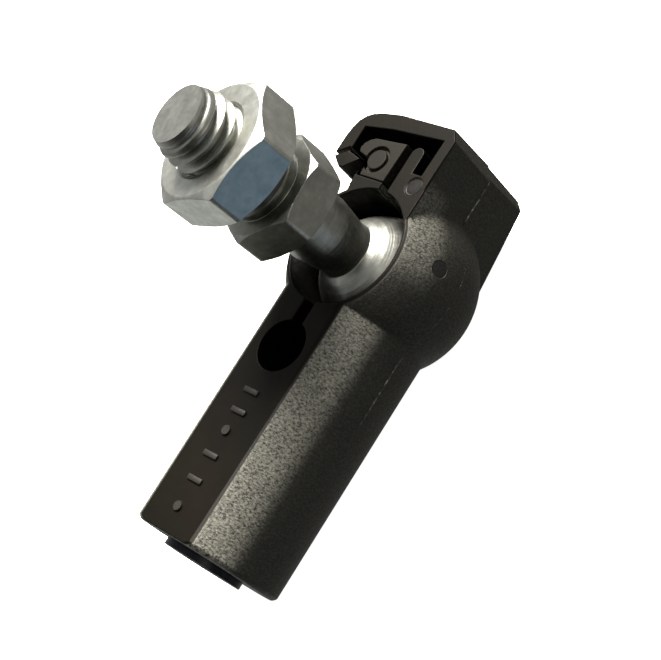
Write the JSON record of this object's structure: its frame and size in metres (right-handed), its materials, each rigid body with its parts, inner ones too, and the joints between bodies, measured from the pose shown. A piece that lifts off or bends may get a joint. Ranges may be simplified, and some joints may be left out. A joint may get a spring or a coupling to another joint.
{
  "type": "ball socket rod end",
  "caption": "Press-in plastic ball socket with a threaded rod bore, swivelling steel ball stud with hexagon, and hex nut on its thread.",
  "frame": {"origin": "centre of the ball", "axes": "+X along the rod axis from the ball towards the head block, +Z out of the socket's front face, where the stud comes out"},
  "size_m": [0.0492, 0.0209, 0.0398],
  "materials": {
    "glass_filled_nylon": "black glass-filled nylon, spark-eroded grain, smooth front face",
    "moulded_nylon": "black nylon, smooth moulded",
    "dark_steel": "dark phosphated steel, turned",
    "zinc_plated_steel": "bright zinc plate over turned steel",
    "zinc_plated_nut": "bright zinc plate over cold-formed steel"
  },
  "bodies": {
    "socket": {"socket_body": "glass_filled_nylon", "threaded_insert": "dark_steel"},
    "slide": {"locking_slide": "moulded_nylon"},
    "swing_plane": {"ball_core_outer": "zinc_plated_steel"},
    "swing": {"ball_core_inner": "zinc_plated_steel"},
    "stud": {"ball_stud": "zinc_plated_steel"},
    "nut_carrier": {"nut_thread_ring": "zinc_plated_nut"},
    "nut": {"hex_nut": "zinc_plated_nut"}
  },
  "joints": [
    {"name": "slide_travel", "type": "slide", "parent": "socket", "child": "slide", "axis": [1, 0, 0], "range_m": [0, 0.001]},
    {"name": "stud_swing_direction", "type": "hinge", "parent": "socket", "child": "swing_plane", "pos_m": [0, 0, 0], "axis": [0, 0, 1], "continuous": true},
    {"name": "stud_swing", "type": "hinge", "parent": "swing_plane", "child": "swing", "pos_m": [0, 0, 0], "axis": [-0.988, -0.1544, 0], "range_deg": [-29, 10.8]},
    {"name": "stud_spin", "type": "hinge", "parent": "swing", "child": "stud", "pos_m": [0, 0, 0], "axis": [-0.0244, 0.1564, 0.9874], "continuous": true},
    {"name": "nut_travel", "type": "slide", "parent": "stud", "child": "nut_carrier", "axis": [-0.0244, 0.1564, 0.9874], "range_m": [-0.0025, 0.00375]},
    {"name": "nut_turn", "type": "hinge", "parent": "nut_carrier", "child": "nut", "pos_m": [-0.00056, 0.00358, 0.02261], "axis": [-0.0244, 0.1564, 0.9874], "range_deg": [-725, 1085]}
  ],
  "couplings": [
    {"joint": "nut_turn", "follows": "nut_travel", "rad_per_m": 5026.5}
  ]
}
